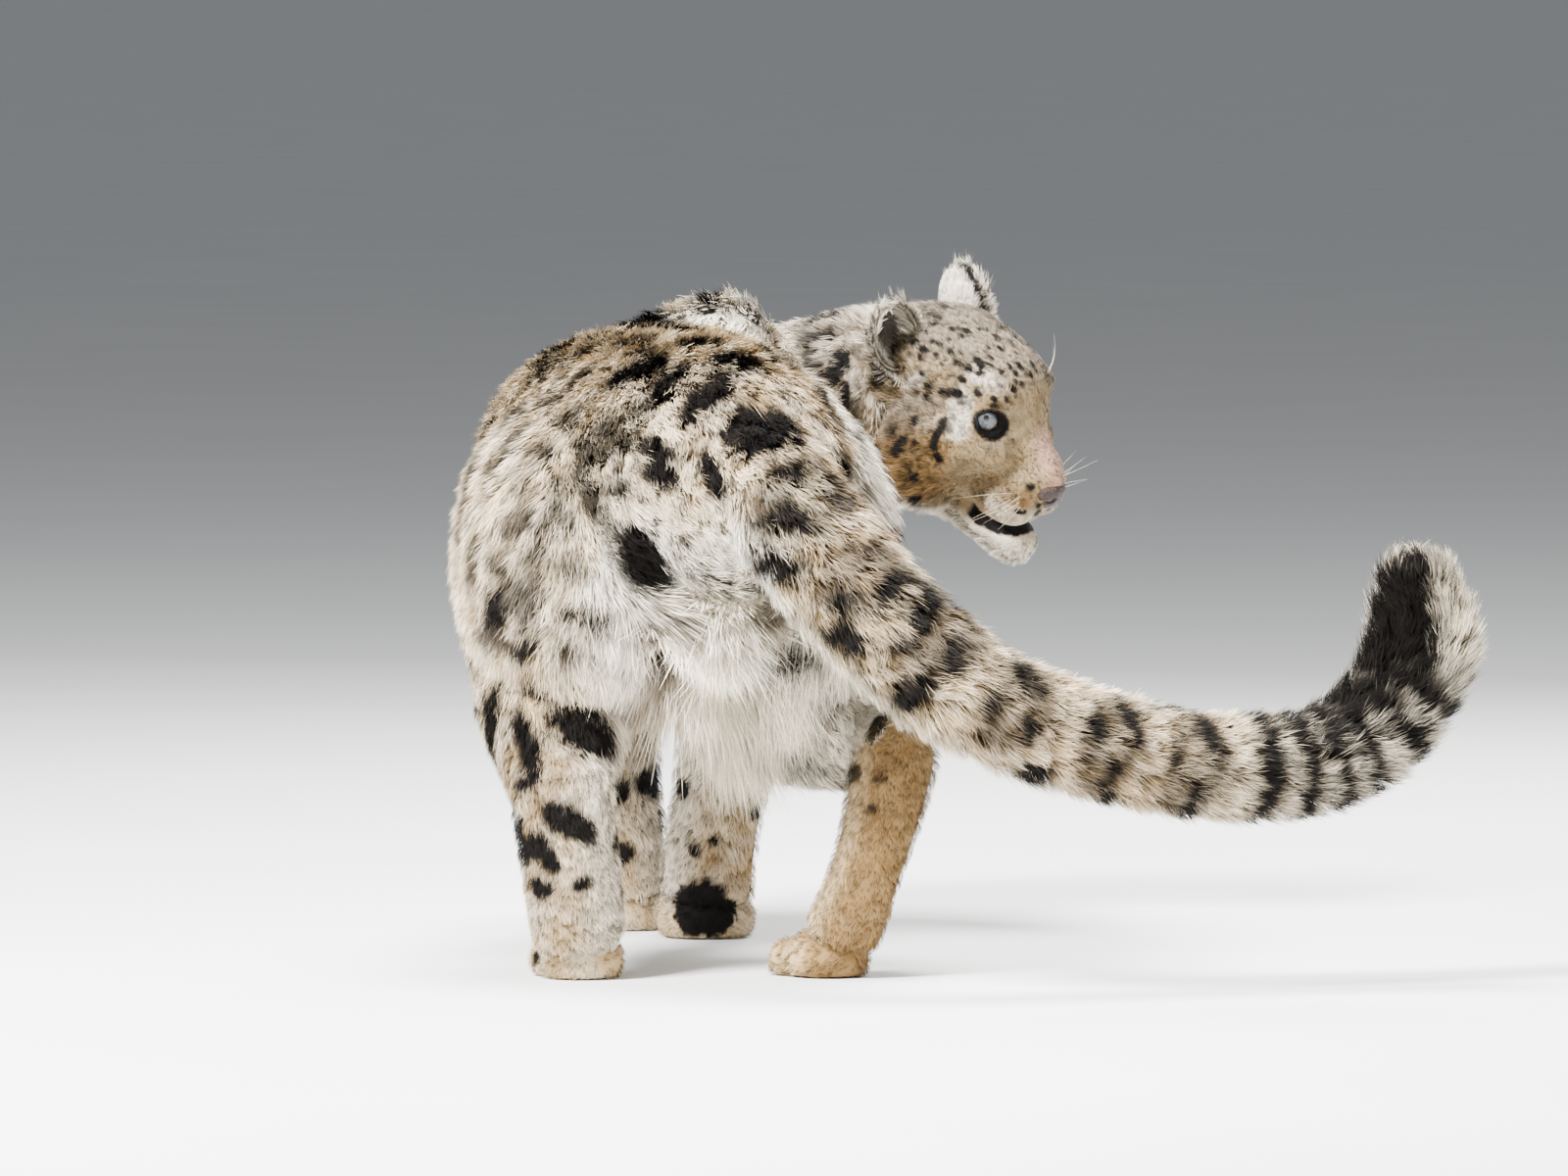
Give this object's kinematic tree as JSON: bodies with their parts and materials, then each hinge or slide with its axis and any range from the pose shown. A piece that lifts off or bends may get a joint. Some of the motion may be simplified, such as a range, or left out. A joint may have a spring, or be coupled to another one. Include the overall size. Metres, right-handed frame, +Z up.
{
  "type": "snow leopard",
  "caption": "Life-size still model of an adult snow leopard standing, body curved, looking back over its shoulder, long thick tail held out to the side.",
  "frame": {"origin": "on the floor, below the middle of the bounding box", "axes": "+Y is ahead of the hips, +X is the animal's right, +Z is up; the camera of the picture looks along +Y"},
  "size_m": [0.9506, 1.013, 0.6568],
  "materials": {
    "fur": "long dense fur, cream grey with black rosettes and ochre on the flanks",
    "tail_fur": "long plush fur, cream with dark rosettes that become bands towards a dark tip",
    "paw_fur": "short dense fur, warm cream",
    "ear_fur": "short fur, black at the rear with a pale patch",
    "eye": "wet gloss, pale grey-blue iris with a small round pupil",
    "nose": "fine pebbled skin, slightly moist"
  },
  "bodies": {
    "root": {"head": "fur", "chest": "fur", "belly": "fur", "rump": "fur", "neck": "fur", "thigh_left": "fur", "shank_left": "fur", "hind_foot_left": "fur", "upper_arm_left": "fur", "forearm_left": "fur", "thigh_right": "fur", "shank_right": "fur", "hind_foot_right": "fur", "upper_arm_right": "fur", "forearm_right": "fur", "tail_root": "tail_fur", "tail_upper": "tail_fur", "tail_middle": "tail_fur", "tail_lower": "tail_fur", "tail_tip": "tail_fur", "hind_paw_left": "paw_fur", "hind_paw_right": "paw_fur", "fore_paw_left": "paw_fur", "fore_paw_right": "paw_fur", "eye_left": "eye", "ear_left": "ear_fur", "eye_right": "eye", "ear_right": "ear_fur", "nose": "nose"}
  },
  "joints": []
}
